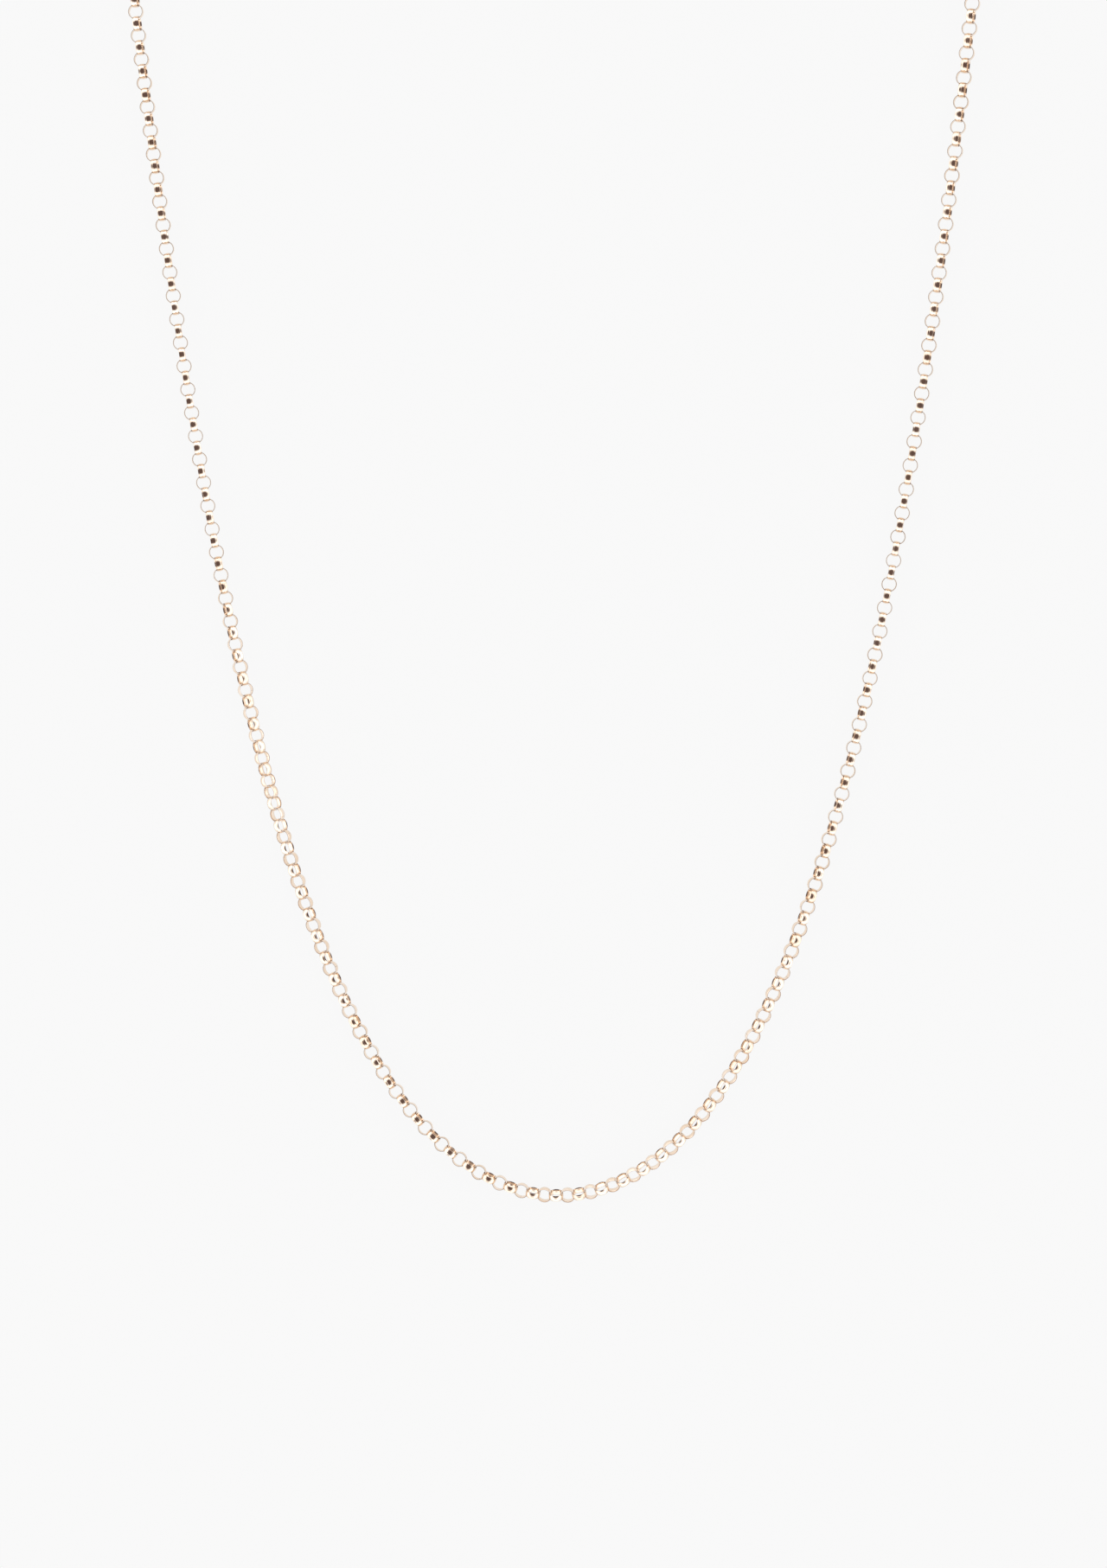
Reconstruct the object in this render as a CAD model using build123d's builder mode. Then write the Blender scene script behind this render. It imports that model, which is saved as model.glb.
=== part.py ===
from build123d import *

import os
from math import asin, asinh, atan2, cos, hypot, radians, sin

# A fine belcher (rolo) chain necklace with a lobster claw clasp, in millimetres.
# It lies unfastened on a table top, z = 0, in the curve that it hangs in when worn.
# X runs across the necklace and +Y from the low point of the chain to the clasp.
# The origin is under the middle of the loop.

# Link: a round band with a crowned outside and a flared bore.
LINK_OUTER_RADIUS = 1.15
LINK_WALL = 0.19
LINK_WIDTH = 0.9
BORE_LAND = 0.16
BORE_FLARE = 0.08
OUTER_CROWN = 0.075
PITCH = 1.77

# Chain: one middle run of links, and equal runs from it to each end.
LINKS_PER_SIDE = 164
MIDDLE_LINKS_PER_SIDE = 4
LINKS_PER_RUN = 8

# Route: a hanging curve round the front, then round the back of the neck.
DRAPE = 21.2
DRAPE_LENGTH = 196.4
BACK_RADIUS = 60.5
LOOP_DEPTH = 245.06

# Slow twist of the chain: distance along it from the low point, and roll in degrees.
ROLL_STATIONS = (
    (-294.0, 0.0),
    (-190.0, 0.0),
    (-120.0, -18.0),
    (-95.0, -36.0),
    (-65.0, -70.0),
    (-20.0, -88.0),
    (15.0, -60.0),
    (45.0, -63.0),
    (90.0, -80.0),
    (122.0, -91.0),
    (165.0, -101.0),
    (245.0, -108.0),
    (294.0, -90.0),
)

# Rings at the two ends.
JUMP_RING_RADIUS = 1.2
JUMP_RING_WIRE = 0.25
JUMP_RING_SPLIT_ANGLE = 3
JUMP_RING_REACH = 1.4
END_RING_RADIUS = 1.6
END_RING_WIRE = 0.3
END_RING_REACH = 2.05
FLOOR_CLEARANCE = 0.02

# Lobster claw, measured from its eye: +X to the nose, -Y the trigger side.
EYE_REACH = 2.58
EYE_RADIUS = 1.17
EYE_BORE = 0.62
EYE_THICKNESS = 0.9
CLAW_THICKNESS = 2.4
CLAW_CENTRE = 5.2
CLAW_HALF_LENGTH = 3.7
CLAW_HALF_WIDTH = 2.3
CLAW_EDGE = 0.5
NECK_CENTRE = 2.0
NECK_RADIUS = 1.35
MOUTH_CENTRE = 5.9
MOUTH_HALF_LENGTH = 2.0
MOUTH_HALF_WIDTH = 1.1
MOUTH_EDGE = 0.25
GATE_START = 3.3
GATE_END = 7.74
GATE_EDGE = -0.5
GATE_GAP = 0.12
SLOT_START = 1.35
SLOT_END = 4.2
SLOT_FLOOR = 0.05
SLOT_THICKNESS = 0.96
TRIGGER_THICKNESS = 0.8
TRIGGER_SKIN = 0.05
PIVOT = (2.3, -0.75)
HUB_RADIUS = 0.6
PIN_RADIUS = 0.3
PIN_CLEARANCE = 0.04
PIN_SINK = 0.05
THUMB = (1.85, -1.62)
THUMB_RADIUS = 0.5
SPRING_PLACE = 3.02
SPRING_POCKET_RADIUS = 0.44
SPRING_POCKET_END = 0.95
SPRING_RADIUS = 0.29
SPRING_WIRE = 0.09
SPRING_COILS = 4
SPRING_GAP = 0.12

BORE_RADIUS = LINK_OUTER_RADIUS - LINK_WALL
EDGE_RADIUS = LINK_OUTER_RADIUS - OUTER_CROWN
HALF_WIDTH = LINK_WIDTH / 2
CHAIN_HEIGHT = hypot(EDGE_RADIUS, HALF_WIDTH)
CLAW_MIDDLE = CLAW_THICKNESS / 2


def outward_half(length):
    """Point and heading in radians, this far along the right half of the route."""
    drape = min(length, DRAPE_LENGTH)
    x = DRAPE * asinh(drape / DRAPE)
    y = hypot(DRAPE, drape) - DRAPE
    heading = atan2(drape, DRAPE)
    turn = (length - drape) / BACK_RADIUS
    x += BACK_RADIUS * (sin(heading + turn) - sin(heading))
    y += BACK_RADIUS * (cos(heading) - cos(heading + turn))
    return x, y - LOOP_DEPTH / 2, heading + turn


def route(length):
    """Point and heading, this far along the chain from its low point to the right."""
    x, y, heading = outward_half(abs(length))
    return (x, y, heading) if length >= 0 else (-x, y, -heading)


def roll(length):
    """Roll of the chain about its own line, in degrees, eased between the stations."""
    for (start, before), (end, after) in zip(ROLL_STATIONS, ROLL_STATIONS[1:]):
        if length <= end:
            share = (length - start) / (end - start)
            return before + (after - before) * share * share * (3 - 2 * share)
    return ROLL_STATIONS[-1][1]


def link_plane(index):
    """The plane of one link: X along the chain, Z along the axis of its bore."""
    x, y, heading = route(index * PITCH)
    along = Vector(cos(heading), sin(heading), 0)
    outward = Vector(sin(heading), -cos(heading), 0)
    angle = radians(roll(index * PITCH) + 90 * (index % 2))
    axis = Vector(0, 0, cos(angle)) + outward * sin(angle)
    return Plane(origin=(x, y, CHAIN_HEIGHT), x_dir=along, z_dir=axis)


def end_plane(index):
    """The table top under an end link, with X pointing on past the end of the chain."""
    x, y, heading = route(index * PITCH)
    side = 1 if index > 0 else -1
    return Plane(origin=(x, y, 0), x_dir=(side * cos(heading), side * sin(heading), 0))


def export(piece, name):
    """Label a finished piece and write it under the name of its node."""
    piece.part.label = name
    export_step(piece.part, f"parts/{name}.step")


os.makedirs("parts", exist_ok=True)

# One link of the chain.
with BuildPart() as link:
    with BuildSketch(Plane.XZ):
        with BuildLine():
            Line((BORE_RADIUS, -BORE_LAND / 2), (BORE_RADIUS, BORE_LAND / 2))
            for side in (1, -1):
                land = (BORE_RADIUS, side * BORE_LAND / 2)
                lip = (BORE_RADIUS + BORE_FLARE, side * HALF_WIDTH)
                TangentArc(land, lip, tangent=(0, side))
                Line(lip, (EDGE_RADIUS, side * HALF_WIDTH))
            ThreePointArc(
                (EDGE_RADIUS, HALF_WIDTH), (LINK_OUTER_RADIUS, 0), (EDGE_RADIUS, -HALF_WIDTH)
            )
        make_face()
    revolve(axis=Axis.Z)


def chain_run(name, first, last):
    """A run of loose links, from one link number to another."""
    with BuildPart() as run:
        with Locations(*[link_plane(index) for index in range(first, last + 1)]):
            add(link.part)
    export(run, name)


chain_run("chain_middle", -MIDDLE_LINKS_PER_SIDE, MIDDLE_LINKS_PER_SIDE)
runs_per_side = (LINKS_PER_SIDE - MIDDLE_LINKS_PER_SIDE) // LINKS_PER_RUN
for number in range(runs_per_side):
    inner = MIDDLE_LINKS_PER_SIDE + number * LINKS_PER_RUN + 1
    outer = inner + LINKS_PER_RUN - 1
    chain_run(f"chain_left_{number + 1:02}", -outer, -inner)
    chain_run(f"chain_right_{number + 1:02}", inner, outer)

# The claw lies flat beyond the left end of the chain, held by a jump ring on edge.
claw_end = end_plane(-LINKS_PER_SIDE)
jump_ring_height = JUMP_RING_RADIUS + JUMP_RING_WIRE + FLOOR_CLEARANCE
jump_ring_plane = Plane(
    origin=claw_end.from_local_coords((JUMP_RING_REACH, 0, jump_ring_height)),
    x_dir=claw_end.z_dir,
    z_dir=claw_end.y_dir,
)
jump_ring_section = Plane(
    origin=jump_ring_plane.origin, x_dir=jump_ring_plane.x_dir, z_dir=jump_ring_plane.y_dir
)
with BuildPart() as jump_ring:
    with BuildSketch(jump_ring_section):
        with Locations((JUMP_RING_RADIUS, 0)):
            Circle(JUMP_RING_WIRE)
    revolve(
        axis=Axis(jump_ring_plane.origin, jump_ring_plane.z_dir),
        revolution_arc=360 - JUMP_RING_SPLIT_ANGLE,
    )
export(jump_ring, "jump_ring")

claw_plane = Plane(
    origin=claw_end.from_local_coords((EYE_REACH, 0, 0)),
    x_dir=claw_end.x_dir,
    z_dir=claw_end.z_dir,
)
slot_plane = claw_plane.offset(CLAW_MIDDLE)
with BuildPart() as claw_body:
    with BuildSketch(claw_plane):
        with Locations((CLAW_CENTRE, 0)):
            Ellipse(CLAW_HALF_LENGTH, CLAW_HALF_WIDTH)
        with Locations((NECK_CENTRE, 0)):
            Circle(NECK_RADIUS)
    extrude(amount=CLAW_THICKNESS)
    faces_across = claw_body.faces().sort_by(Axis.Z)
    fillet([*faces_across[0].edges(), *faces_across[-1].edges()], CLAW_EDGE)
    with BuildSketch(claw_plane):
        with Locations((MOUTH_CENTRE, 0)):
            Ellipse(MOUTH_HALF_LENGTH, MOUTH_HALF_WIDTH)
    extrude(amount=CLAW_THICKNESS, mode=Mode.SUBTRACT)
    faces_across = claw_body.faces().sort_by(Axis.Z)
    mouth_rims = [faces_across[0].inner_wires()[0], faces_across[-1].inner_wires()[0]]
    fillet([edge for rim in mouth_rims for edge in rim.edges()], MOUTH_EDGE)
    with BuildSketch(claw_plane):
        with Locations((GATE_START, GATE_EDGE)):
            Rectangle(GATE_END - GATE_START, CLAW_HALF_WIDTH, align=(Align.MIN, Align.MAX))
    extrude(amount=CLAW_THICKNESS, mode=Mode.SUBTRACT)
    with BuildSketch(slot_plane):
        with Locations((SLOT_START, SLOT_FLOOR)):
            Rectangle(SLOT_END - SLOT_START, 2 * CLAW_HALF_WIDTH, align=(Align.MIN, Align.MAX))
    extrude(amount=SLOT_THICKNESS / 2, both=True, mode=Mode.SUBTRACT)
    with BuildSketch(slot_plane):
        Circle(EYE_RADIUS)
    extrude(amount=EYE_THICKNESS / 2, both=True)
    with BuildSketch(slot_plane):
        Circle(EYE_BORE)
    extrude(amount=EYE_THICKNESS / 2, both=True, mode=Mode.SUBTRACT)
    with BuildSketch(claw_plane.offset(PIN_SINK)):
        with Locations(PIVOT):
            Circle(PIN_RADIUS)
    extrude(amount=CLAW_THICKNESS - 2 * PIN_SINK, mode=Mode.SUBTRACT)
    pocket_start = slot_plane.from_local_coords((SPRING_PLACE, SLOT_FLOOR, 0))
    with BuildSketch(Plane(origin=pocket_start, z_dir=claw_plane.y_dir)):
        Circle(SPRING_POCKET_RADIUS)
    extrude(amount=SPRING_POCKET_END - SLOT_FLOOR, mode=Mode.SUBTRACT)
export(claw_body, "claw_body")

with BuildPart() as trigger:
    with BuildSketch(slot_plane):
        with Locations((CLAW_CENTRE, 0)):
            Ellipse(CLAW_HALF_LENGTH - TRIGGER_SKIN, CLAW_HALF_WIDTH - TRIGGER_SKIN)
        with Locations((MOUTH_CENTRE, 0)):
            Ellipse(MOUTH_HALF_LENGTH, MOUTH_HALF_WIDTH, mode=Mode.SUBTRACT)
        with Locations((PIVOT[0], GATE_EDGE)):
            Rectangle(
                GATE_END - GATE_GAP - PIVOT[0],
                CLAW_HALF_WIDTH,
                align=(Align.MIN, Align.MAX),
                mode=Mode.INTERSECT,
            )
        with Locations(PIVOT):
            Circle(HUB_RADIUS)
        with Locations(THUMB):
            Circle(THUMB_RADIUS)
        with Locations(PIVOT):
            Circle(PIN_RADIUS + PIN_CLEARANCE, mode=Mode.SUBTRACT)
    extrude(amount=TRIGGER_THICKNESS / 2, both=True)
export(trigger, "trigger")

with BuildPart() as trigger_pin:
    with BuildSketch(claw_plane.offset(PIN_SINK)):
        with Locations(PIVOT):
            Circle(PIN_RADIUS)
    extrude(amount=CLAW_THICKNESS - 2 * PIN_SINK)
export(trigger_pin, "trigger_pin")

spring_seat = slot_plane.from_local_coords((SPRING_PLACE, SPRING_POCKET_END - SPRING_WIRE, 0))
spring_height = SPRING_POCKET_END - GATE_EDGE - SPRING_GAP - 2 * SPRING_WIRE
spring_pitch = spring_height / SPRING_COILS
with BuildPart() as trigger_spring:
    with BuildLine() as coil:
        Helix(spring_pitch, spring_height, SPRING_RADIUS, spring_seat, -claw_plane.y_dir)
    with BuildSketch(Plane(origin=coil.line @ 0, z_dir=coil.line % 0)):
        Circle(SPRING_WIRE)
    sweep(is_frenet=True)
export(trigger_spring, "trigger_spring")

# The plain ring at the right end leans down from the last link to the table.
ring_end = end_plane(LINKS_PER_SIDE)
ring_drop = CHAIN_HEIGHT - END_RING_WIRE - FLOOR_CLEARANCE
ring_lean = asin(ring_drop / (END_RING_REACH + END_RING_RADIUS))
ring_along = ring_end.x_dir * cos(ring_lean) - ring_end.z_dir * sin(ring_lean)
ring_section = Plane(
    origin=ring_end.from_local_coords((0, 0, CHAIN_HEIGHT)) + ring_along * END_RING_REACH,
    x_dir=ring_along,
    z_dir=ring_end.y_dir,
)
with BuildPart() as end_ring:
    with BuildSketch(ring_section):
        with Locations((END_RING_RADIUS, 0)):
            Circle(END_RING_WIRE)
    revolve(axis=Axis(ring_section.origin, ring_section.y_dir))
export(end_ring, "end_ring")
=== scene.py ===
import math
import random

import bpy
import numpy as np
from mathutils import Matrix, Vector


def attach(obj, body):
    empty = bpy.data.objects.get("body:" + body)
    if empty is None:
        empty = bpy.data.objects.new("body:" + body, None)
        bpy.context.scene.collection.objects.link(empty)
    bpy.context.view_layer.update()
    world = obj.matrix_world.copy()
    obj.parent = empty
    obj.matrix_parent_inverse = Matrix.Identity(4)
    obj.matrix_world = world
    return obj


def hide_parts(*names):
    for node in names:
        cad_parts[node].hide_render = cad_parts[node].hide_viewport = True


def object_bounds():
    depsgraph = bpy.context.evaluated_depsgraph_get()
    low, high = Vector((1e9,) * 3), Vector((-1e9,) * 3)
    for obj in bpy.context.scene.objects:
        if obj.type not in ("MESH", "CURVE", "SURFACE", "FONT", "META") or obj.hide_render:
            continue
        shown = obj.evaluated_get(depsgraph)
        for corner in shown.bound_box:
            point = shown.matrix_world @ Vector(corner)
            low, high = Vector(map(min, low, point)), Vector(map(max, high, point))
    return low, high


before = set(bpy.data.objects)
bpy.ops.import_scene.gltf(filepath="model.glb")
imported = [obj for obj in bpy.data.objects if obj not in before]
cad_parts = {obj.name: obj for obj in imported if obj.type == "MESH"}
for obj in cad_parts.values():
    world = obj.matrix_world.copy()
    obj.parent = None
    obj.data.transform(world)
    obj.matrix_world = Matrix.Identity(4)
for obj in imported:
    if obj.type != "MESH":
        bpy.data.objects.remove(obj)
cad_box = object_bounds()

# Lengths are in metres, and the camera's lens and sensor in millimetres.
MM = 0.001
CHAIN_PREFIX = "chain_"
CLASP_NODES = ("claw_body", "trigger", "trigger_pin", "trigger_spring")

# Camera: straight down on the chain, a little from below and from its right.
CAMERA_DISTANCE = 0.5
CAMERA_PITCH = math.radians(4.56)
CAMERA_YAW = math.radians(6.61)
CAMERA_ROLL = math.radians(0.36)
CAMERA_SENSOR = 36.0
CAMERA_LENS = 76.475
TARGET_ABOVE_LOW_POINT = 0.06365
TARGET_HEIGHT = 0.0012

# Light: a floor that gives off white light, and a sky that is unlit round overhead.
# The edge of the unlit part is an angle from overhead, and it fades over the blur either side.
FLOOR_HALF_WIDTH = 2.0
FLOOR_COLOUR = (0.02, 0.02, 0.02)
FLOOR_ROUGHNESS = 0.9
FLOOR_GLOW = 0.91
SKY_STRENGTH = 1.7
CEILING_EDGE = math.radians(45)
CEILING_BLUR = math.radians(10)
CEILING_COLOUR = (0.08, 0.055, 0.05)

# Metal colours drift from warm to pale, and roughness from polished to worn.
GOLD_WARM = (0.86, 0.68, 0.52)
GOLD_PALE = (0.93, 0.80, 0.68)
GOLD_ROUGHNESS = (0.05, 0.2)
STEEL_WARM = (0.50, 0.50, 0.52)
STEEL_PALE = (0.62, 0.62, 0.64)
STEEL_ROUGHNESS = (0.18, 0.4)
TONE_ENDS = (0.35, 0.95)
TONE_BY_LINK = 0.35
# Painted shade: a dark colour mixed onto each link's lips, corners and seam, up to this share, to
# draw each ring's dark edge line.
EDGE_PAINTED_SHADE = 0.95
PAINTED_SHADE_COLOUR = (0.22, 0.17, 0.17)
WEAR_DULLING = 0.5

# Surface textures: scales are repeats in a metre.
DRIFT_SCALE = 350.0
SMEAR_SCALE = 1800.0
LINE_SCALE = 6000.0
LINE_STRETCH = (1.0, 9.0, 2.5)
LINE_TURN = (0.4, 0.9, 0.6)
PIT_SCALE = 5200.0
PIT_SHARE = 0.25
RELIEF_STRENGTH = 0.35
RELIEF_DEPTH = 0.002 * MM
GROOVES_PER_MM = 5.0
GROOVE_DEPTH = 0.03 * MM

# Section of a link: steps and the flat land of the bore are shares of its half width.
CROWN_STEPS = (-0.94, -0.8, -0.6, -0.3, 0.0, 0.3, 0.6, 0.8, 0.94)
CROWN_DROP = 0.075 * MM
BORE_FLARE = 0.08 * MM
BORE_LAND = 0.178
LIP_CORNER = 0.003 * MM

# Wear and painted shade of a link, from 0 where it is polished to 1 on its lips: it dulls the metal
# and sets how much dark painted shade goes on. The seam's is added to the rest.
BAND_WEAR_AND_SHADE = 0.4
CORNER_WEAR_AND_SHADE = 0.8
LIP_WEAR_AND_SHADE = 1.0
SEAM_WEAR_AND_SHADE = 0.6

# Turn of a link: the seam's steps and spread are angles from it, in radians.
RING_STEPS = 50
SEAM_STEPS = (-0.09, -0.06, -0.035, -0.015, 0.015, 0.035, 0.06, 0.09)
SEAM_SPREAD = 0.028
SEAM_DEPTH = 0.006 * MM
FORGING_LOBES = (3, 5, 8)
FORGING_WAVE = 0.002 * MM
LINK_TILT = math.radians(0.8)
LINK_SEED = 7

# Each link's polishing grooves start at a random place within this many millimetres of texture.
TRACK_SPREAD = 40

# Rings of round wire at the two ends.
WIRE_TURNS = 96
WIRE_ROUNDS = 24
JUMP_RING_SPLIT = math.radians(3)

# CAD points that round to the same multiple of this are one point.
WELD_STEP = MM / 10000


def link_places(node):
    """Centre, bore axis, outer radius, bore radius and half width of each ring in a CAD node."""
    mesh = node.data
    points = np.empty(len(mesh.vertices) * 3)
    mesh.vertices.foreach_get("co", points)
    points = points.reshape(-1, 3)
    mesh.calc_loop_triangles()
    corners = np.empty(len(mesh.loop_triangles) * 3, np.int64)
    mesh.loop_triangles.foreach_get("vertices", corners)
    cells = (points / WELD_STEP).round().astype(np.int64)
    _, welded = np.unique(cells, axis=0, return_inverse=True)
    corners = welded.ravel()[corners].reshape(-1, 3)
    group = np.arange(welded.max() + 1)
    while True:
        lowest = group[corners].min(axis=1)
        before = group.copy()
        for column in range(3):
            np.minimum.at(group, corners[:, column], lowest)
        group = group[group]
        if (group == before).all():
            break
    where = np.zeros((welded.max() + 1, 3))
    where[welded.ravel()] = points
    places = []
    for number in np.unique(group[corners[:, 0]]):
        faces = where[corners[group[corners[:, 0]] == number]]
        normals = np.cross(faces[:, 1] - faces[:, 0], faces[:, 2] - faces[:, 0])
        areas = np.linalg.norm(normals, axis=1)
        middles = faces.mean(axis=1)
        centre = np.average(middles, axis=0, weights=areas)
        spread = np.cov((middles - centre).T, aweights=areas)
        axis = np.linalg.eigh(spread)[1][:, 0]
        offsets = faces.reshape(-1, 3) - centre
        along = offsets @ axis
        radii = np.linalg.norm(offsets - np.outer(along, axis), axis=1)
        places.append((centre, axis, radii.max(), radii.min(), np.abs(along).max()))
    return places


def section(outer, bore, half_width):
    """Radius, axial place and wear-and-painted-shade value of the points round a link's section."""
    edge = outer - CROWN_DROP
    flared = bore + BORE_FLARE
    corner = half_width - LIP_CORNER
    crown, hollow = [], []
    for share in CROWN_STEPS:
        flare = max(0.0, (abs(share) - BORE_LAND) / (1 - BORE_LAND))
        place = share * half_width
        worn_and_shaded = BAND_WEAR_AND_SHADE * share**6
        crown.append((outer - CROWN_DROP * share * share, place, worn_and_shaded))
        hollow.append((bore + BORE_FLARE * flare * flare, place, worn_and_shaded))
    lip = [
        (edge, corner, CORNER_WEAR_AND_SHADE),
        (edge - LIP_CORNER, half_width, LIP_WEAR_AND_SHADE),
        (flared + LIP_CORNER, half_width, LIP_WEAR_AND_SHADE),
        (flared, corner, CORNER_WEAR_AND_SHADE),
    ]
    other_lip = [(radius, -place, worn_and_shaded) for radius, place, worn_and_shaded in reversed(lip)]
    return np.array(crown + lip + hollow[::-1] + other_lip)


def link_mesh(place, chance):
    """Vertices, stored values and grid size of one link: a crowned band with its soldered seam."""
    centre, axis, outer, bore, half_width = place
    profile = section(outer, bore, half_width)
    seam = chance.uniform(0, 2 * math.pi)
    last = SEAM_STEPS[-1]
    steps = np.linspace(last, 2 * math.pi - last, RING_STEPS + 2)[1:-1]
    turns = np.concatenate([SEAM_STEPS, steps])
    radius = np.repeat(profile[None, :, 0], len(turns), axis=0)
    width = np.repeat(profile[None, :, 1], len(turns), axis=0)
    from_seam = np.minimum(turns % (2 * math.pi), (-turns) % (2 * math.pi))
    groove = np.exp(-((from_seam / SEAM_SPREAD) ** 2))[:, None]
    outward = np.sign(profile[:, 0] - (outer + bore) / 2)[None]
    radius = radius - outward * SEAM_DEPTH * groove
    for lobes in FORGING_LOBES:
        phase = chance.uniform(0, 2 * math.pi)
        height = FORGING_WAVE / lobes * FORGING_LOBES[0]
        radius = radius + height * np.sin(lobes * turns[:, None] + phase)
    axis = Vector(axis)
    side = axis.orthogonal().normalized()
    tilt = Matrix.Rotation(chance.uniform(-LINK_TILT, LINK_TILT), 3, side)
    axis = tilt @ axis
    across = axis.cross(side)
    angle = turns[:, None] + seam
    vertices = (
        np.array(centre)
        + (radius * np.cos(angle))[..., None] * np.array(side)
        + (radius * np.sin(angle))[..., None] * np.array(across)
        + width[..., None] * np.array(axis)
    )
    # Wear and painted shade: highest on the lips and corners, with more at the seam.
    wear_and_shade = np.repeat(profile[None, :, 2], len(turns), axis=0) + SEAM_WEAR_AND_SHADE * groove
    tone = np.full(wear_and_shade.shape, chance.random())
    track = width / MM + TRACK_SPREAD * tone
    layers = {"wear_and_shade": wear_and_shade.ravel(), "tone": tone.ravel(), "track": track.ravel()}
    return vertices.reshape(-1, 3), layers, len(turns), len(profile)


def ring_faces(turns, points, start):
    """Quads of one closed band of turns x points vertices."""
    turn, point = np.meshgrid(np.arange(turns), np.arange(points), indexing="ij")
    next_turn = (turn + 1) % turns
    next_point = (point + 1) % points
    quads = np.stack(
        [
            turn * points + point,
            next_turn * points + point,
            next_turn * points + next_point,
            turn * points + next_point,
        ],
        axis=-1,
    )
    return quads.reshape(-1, 4) + start


def make_piece(name, vertices, quads, layers, material):
    """A smooth mesh object with layers of values stored on its points."""
    mesh = bpy.data.meshes.new(name)
    mesh.vertices.add(len(vertices))
    mesh.vertices.foreach_set("co", np.asarray(vertices, np.float32).ravel())
    mesh.loops.add(quads.size)
    mesh.loops.foreach_set("vertex_index", quads.ravel().astype(np.int32))
    mesh.polygons.add(len(quads))
    mesh.polygons.foreach_set("loop_start", np.arange(0, quads.size, 4, dtype=np.int32))
    mesh.update(calc_edges=True)
    mesh.polygons.foreach_set("use_smooth", np.ones(len(quads), bool))
    for label, values in layers.items():
        layer = mesh.attributes.new(label, "FLOAT", "POINT")
        layer.data.foreach_set("value", np.asarray(values, np.float32))
    mesh.validate()
    piece = bpy.data.objects.new(name, mesh)
    bpy.context.scene.collection.objects.link(piece)
    mesh.materials.append(material)
    return piece


def stand_in(piece, node_name):
    """Puts a finished piece in the place of its CAD node."""
    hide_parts(node_name)
    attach(piece, node_name)


def chain_piece(node_name, material, chance):
    """The finished links that stand for one CAD run of the chain."""
    vertices, quads = [], []
    layers = {"wear_and_shade": [], "tone": [], "track": []}
    count = 0
    for place in link_places(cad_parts[node_name]):
        points, values, turns, around = link_mesh(place, chance)
        quads.append(ring_faces(turns, around, count))
        vertices.append(points)
        for label, layer in values.items():
            layers[label].append(layer)
        count += len(points)
    piece = make_piece(
        "links_" + node_name[len(CHAIN_PREFIX):],
        np.concatenate(vertices),
        np.concatenate(quads),
        {label: np.concatenate(layer) for label, layer in layers.items()},
        material,
    )
    stand_in(piece, node_name)


def wire_place(node_name):
    """Centre, two directions across it, axis, middle radius, wire radius and cut of a CAD ring."""
    axis = Vector(link_places(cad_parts[node_name])[0][1])
    side = axis.orthogonal().normalized()
    across = axis.cross(side)
    points = np.array([tuple(vertex.co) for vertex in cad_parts[node_name].data.vertices])
    centre = (points.min(axis=0) + points.max(axis=0)) / 2
    flat = (points - centre) @ np.array([side, across]).T
    high = (points - centre) @ np.array(axis)
    angles = np.sort(np.arctan2(flat[:, 1], flat[:, 0]))
    gaps = np.diff(np.append(angles, angles[0] + 2 * math.pi))
    cut = angles[gaps.argmax()] + gaps.max() / 2
    wire = (high.max() - high.min()) / 2
    return centre, side, across, axis, np.hypot(*flat.T).max() - wire, wire, cut


def round_ring(node_name, material, split=0.0):
    """A smooth ring of round wire in the place of a CAD ring, with an optional cut through it."""
    centre, side, across, axis, middle, wire, cut = wire_place(node_name)
    turns = np.linspace(split / 2, 2 * math.pi - split / 2, WIRE_TURNS, endpoint=split > 0)
    thickness = np.full(WIRE_TURNS, wire)
    if split:
        turns = turns + cut
        turns = np.concatenate([turns[:1], turns, turns[-1:]])
        thickness = np.concatenate([[0], thickness, [0]])
    rounds = np.linspace(0, 2 * math.pi, WIRE_ROUNDS, endpoint=False)
    radius = middle + np.outer(thickness, np.cos(rounds))
    height = np.outer(thickness, np.sin(rounds))
    vertices = (
        np.array(centre)
        + (radius * np.cos(turns)[:, None])[..., None] * np.array(side)
        + (radius * np.sin(turns)[:, None])[..., None] * np.array(across)
        + height[..., None] * np.array(axis)
    )
    quads = ring_faces(len(turns), WIRE_ROUNDS, 0)
    if split:
        quads = quads[:-WIRE_ROUNDS]
    layers = {
        "wear_and_shade": np.zeros(height.size),
        "tone": np.full(height.size, 0.5),
        "track": height.ravel() / MM,
    }
    piece = make_piece(node_name + "_wire", vertices.reshape(-1, 3), quads, layers, material)
    stand_in(piece, node_name)


def node(tree, kind, **inputs):
    """A shader node with some of its inputs set."""
    made = tree.nodes.new(kind)
    for name, value in inputs.items():
        made.inputs[name.replace("_", " ")].default_value = value
    return made


def scale_range(tree, source, low, high):
    """Maps a 0 to 1 value to the range low to high."""
    mapped = node(tree, "ShaderNodeMapRange", To_Min=low, To_Max=high)
    tree.links.new(source, mapped.inputs["Value"])
    return mapped.outputs["Result"]


def stored(tree, label):
    """The values that a piece keeps on its points under a label."""
    made = tree.nodes.new("ShaderNodeAttribute")
    made.attribute_name = label
    return made.outputs["Fac"]


def noise(tree, place, **inputs):
    """Cloudy noise, from 0 to 1, at a place."""
    made = node(tree, "ShaderNodeTexNoise", **inputs)
    tree.links.new(place, made.inputs["Vector"])
    return made.outputs["Fac"]


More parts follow.
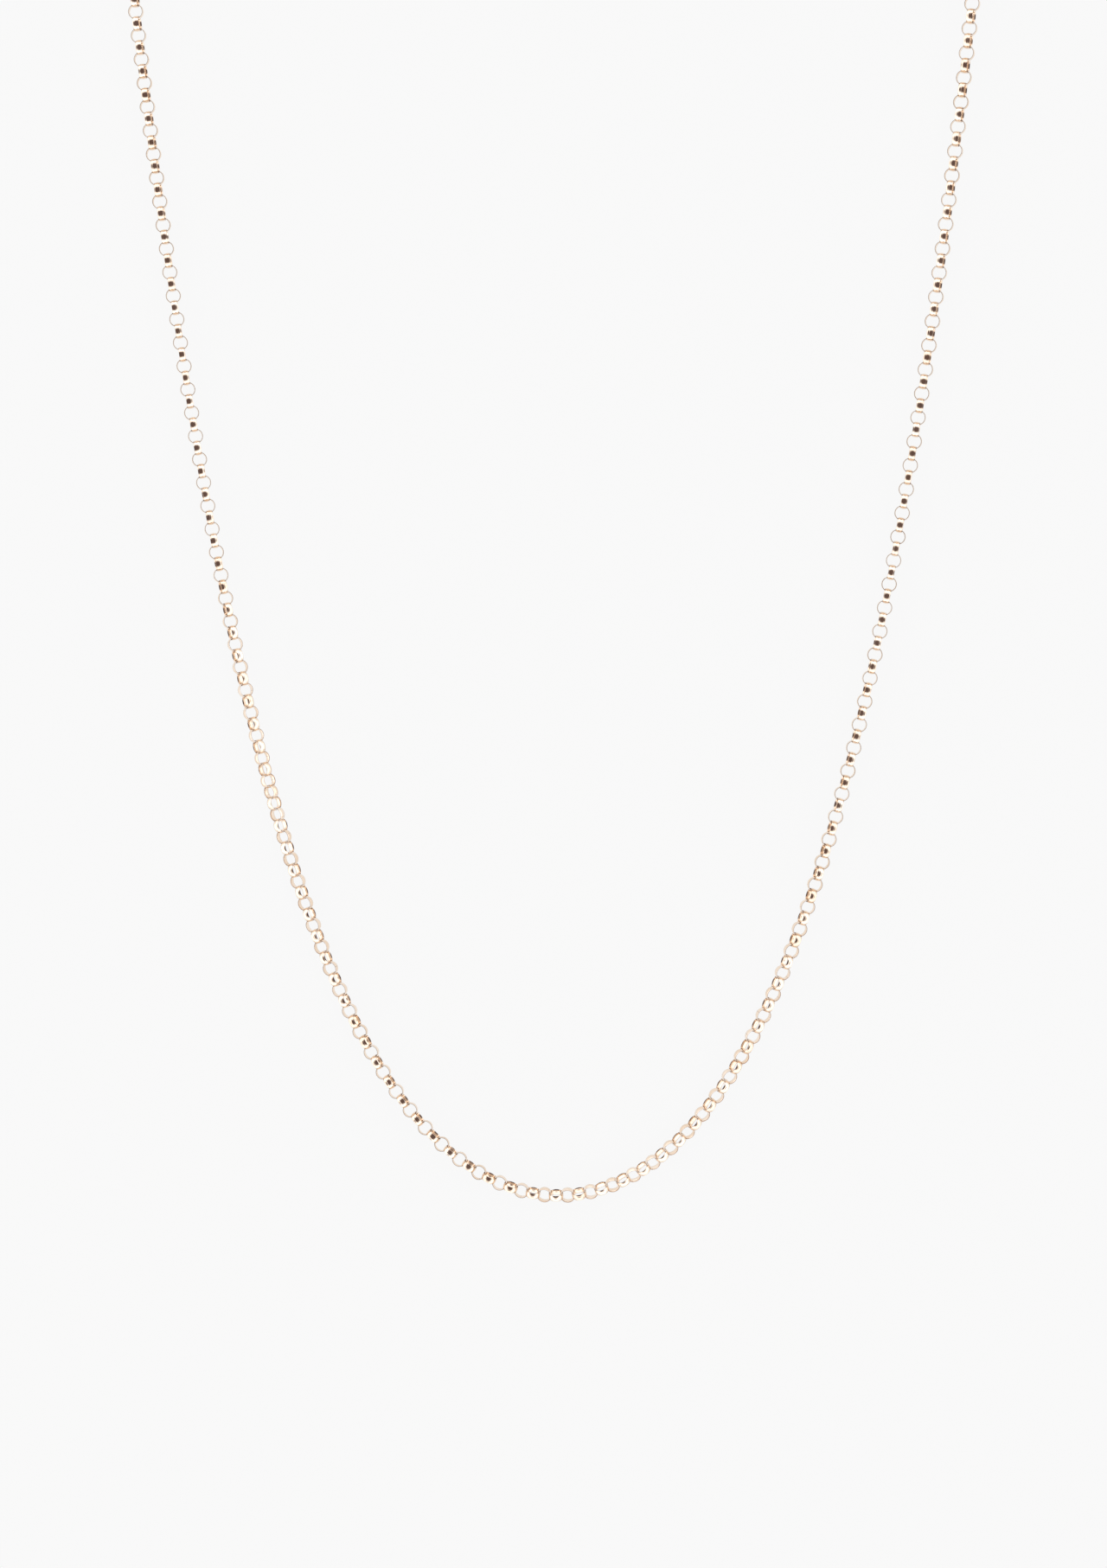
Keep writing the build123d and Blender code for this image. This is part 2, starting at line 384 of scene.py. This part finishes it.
def weighted_sum(tree, scaled, weight, added):
    """One value times a weight, plus another."""
    made = tree.nodes.new("ShaderNodeMath")
    made.operation = "MULTIPLY_ADD"
    made.inputs[1].default_value = weight
    tree.links.new(scaled, made.inputs[0])
    tree.links.new(added, made.inputs[2])
    return made.outputs["Value"]


def two_colours(tree, source, places, colours):
    """Colours that go from the first to the second between two values of the source."""
    ramp = tree.nodes.new("ShaderNodeValToRGB")
    for number in (0, 1):
        ramp.color_ramp.elements[number].position = places[number]
        ramp.color_ramp.elements[number].color = (*colours[number], 1)
    tree.links.new(source, ramp.inputs["Fac"])
    return ramp.outputs["Color"]


def metal_colour(tree, place, wear_and_shade, warm, pale):
    """Slow drift between two shades, another shade for each link, and painted shade: a dark colour
    on the lips, corners and seam that draws each ring's dark edge line.
    """
    drift = noise(tree, place, Scale=DRIFT_SCALE, Detail=3.0, Roughness=0.5)
    shade = weighted_sum(tree, stored(tree, "tone"), TONE_BY_LINK, drift)
    painted_shade = node(tree, "ShaderNodeMix")
    painted_shade.data_type = "RGBA"
    tree.links.new(scale_range(tree, wear_and_shade, 0.0, EDGE_PAINTED_SHADE), painted_shade.inputs["Factor"])
    tree.links.new(two_colours(tree, shade, TONE_ENDS, (warm, pale)), painted_shade.inputs["A"])
    painted_shade.inputs["B"].default_value = (*PAINTED_SHADE_COLOUR, 1)
    return painted_shade.outputs["Result"]


def metal_relief(tree, place):
    """Polishing grooves round each band, with fine lines and pits over them."""
    stretch = tree.nodes.new("ShaderNodeMapping")
    stretch.inputs["Scale"].default_value = LINE_STRETCH
    stretch.inputs["Rotation"].default_value = LINE_TURN
    tree.links.new(place, stretch.inputs["Vector"])
    lines = noise(tree, stretch.outputs["Vector"], Scale=LINE_SCALE, Detail=3.0, Roughness=0.7)
    pits = node(tree, "ShaderNodeTexVoronoi", Scale=PIT_SCALE)
    tree.links.new(place, pits.inputs["Vector"])
    grooves = tree.nodes.new("ShaderNodeTexNoise")
    grooves.noise_dimensions = "1D"
    grooves.inputs["Scale"].default_value = GROOVES_PER_MM
    grooves.inputs["Detail"].default_value = 2.0
    tree.links.new(stored(tree, "track"), grooves.inputs["W"])
    brushed = node(tree, "ShaderNodeBump", Strength=1.0, Distance=GROOVE_DEPTH)
    tree.links.new(grooves.outputs["Fac"], brushed.inputs["Height"])
    bump = node(tree, "ShaderNodeBump", Strength=RELIEF_STRENGTH, Distance=RELIEF_DEPTH)
    tree.links.new(brushed.outputs["Normal"], bump.inputs["Normal"])
    relief = weighted_sum(tree, pits.outputs["Distance"], PIT_SHARE, lines)
    tree.links.new(relief, bump.inputs["Height"])
    return bump.outputs["Normal"]


def polished_metal(name, warm, pale, roughness):
    """Polished metal: colour drift, polishing lines, handling marks, and edges worn duller that
    carry painted shade.
    """
    material = bpy.data.materials.new(name)
    material.use_nodes = True
    tree = material.node_tree
    shader = tree.nodes["Principled BSDF"]
    shader.inputs["Metallic"].default_value = 1.0
    place = tree.nodes.new("ShaderNodeTexCoord").outputs["Object"]
    wear_and_shade = stored(tree, "wear_and_shade")
    smears = noise(tree, place, Scale=SMEAR_SCALE, Detail=4.0, Roughness=0.6)
    dull = weighted_sum(tree, wear_and_shade, WEAR_DULLING, smears)
    tree.links.new(metal_colour(tree, place, wear_and_shade, warm, pale), shader.inputs["Base Color"])
    tree.links.new(scale_range(tree, dull, *roughness), shader.inputs["Roughness"])
    tree.links.new(metal_relief(tree, place), shader.inputs["Normal"])
    return material


def make_camera(low):
    """Looks down on the front of the chain, a little from below and from its right."""
    target = Vector((0, low.y + TARGET_ABOVE_LOW_POINT, TARGET_HEIGHT))
    back = Vector(
        (
            math.sin(CAMERA_YAW) * math.cos(CAMERA_PITCH),
            math.sin(CAMERA_PITCH),
            math.cos(CAMERA_YAW) * math.cos(CAMERA_PITCH),
        )
    )
    upright = Vector((math.sin(CAMERA_ROLL), math.cos(CAMERA_ROLL), 0))
    right = (-back).cross(upright).normalized()
    turn = Matrix((right, back.cross(right), back)).transposed().to_4x4()
    data = bpy.data.cameras.new("camera")
    data.lens = CAMERA_LENS
    data.sensor_width = CAMERA_SENSOR
    camera = bpy.data.objects.new("camera", data)
    camera.matrix_world = Matrix.Translation(target + back * CAMERA_DISTANCE) @ turn
    bpy.context.scene.collection.objects.link(camera)
    bpy.context.scene.camera = camera


def make_floor(material):
    """A square table top under the chain."""
    half = FLOOR_HALF_WIDTH
    corners = [(-half, -half, 0), (half, -half, 0), (half, half, 0), (-half, half, 0)]
    mesh = bpy.data.meshes.new("floor")
    mesh.from_pydata(corners, [], [(0, 1, 2, 3)])
    floor = bpy.data.objects.new("floor", mesh)
    mesh.materials.append(material)
    bpy.context.scene.collection.objects.link(floor)


def glowing_floor():
    """A pale surface that gives off light, so that no shadow falls through the links."""
    material = bpy.data.materials.new("pale_floor")
    material.use_nodes = True
    shader = material.node_tree.nodes["Principled BSDF"]
    shader.inputs["Base Color"].default_value = (*FLOOR_COLOUR, 1)
    shader.inputs["Roughness"].default_value = FLOOR_ROUGHNESS
    shader.inputs["Emission Color"].default_value = (1, 1, 1, 1)
    shader.inputs["Emission Strength"].default_value = FLOOR_GLOW
    return material


def studio_sky():
    """Soft white light from all round, with an unlit ceiling overhead for polished metal to show."""
    world = bpy.data.worlds.new("studio")
    world.use_nodes = True
    tree = world.node_tree
    direction = tree.nodes.new("ShaderNodeTexCoord").outputs["Generated"]
    height = tree.nodes.new("ShaderNodeSeparateXYZ")
    tree.links.new(direction, height.inputs["Vector"])
    places = (math.cos(CEILING_EDGE + CEILING_BLUR), math.cos(CEILING_EDGE - CEILING_BLUR))
    colours = two_colours(tree, height.outputs["Z"], places, ((1, 1, 1), CEILING_COLOUR))
    sky = tree.nodes["Background"]
    tree.links.new(colours, sky.inputs["Color"])
    sky.inputs["Strength"].default_value = SKY_STRENGTH
    return world


make_camera(cad_box[0])
scene = bpy.context.scene
scene.view_settings.view_transform = "Standard"
scene.world = studio_sky()

make_floor(glowing_floor())

gold = polished_metal("rose_gold_polished", GOLD_WARM, GOLD_PALE, GOLD_ROUGHNESS)
steel = polished_metal("spring_steel", STEEL_WARM, STEEL_PALE, STEEL_ROUGHNESS)

chance = random.Random(LINK_SEED)
for name in sorted(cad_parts):
    if name.startswith(CHAIN_PREFIX):
        chain_piece(name, gold, chance)
round_ring("end_ring", gold)
round_ring("jump_ring", gold, JUMP_RING_SPLIT)
for name in CLASP_NODES:
    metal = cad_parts[name].data.materials
    metal.clear()
    metal.append(steel if name == "trigger_spring" else gold)
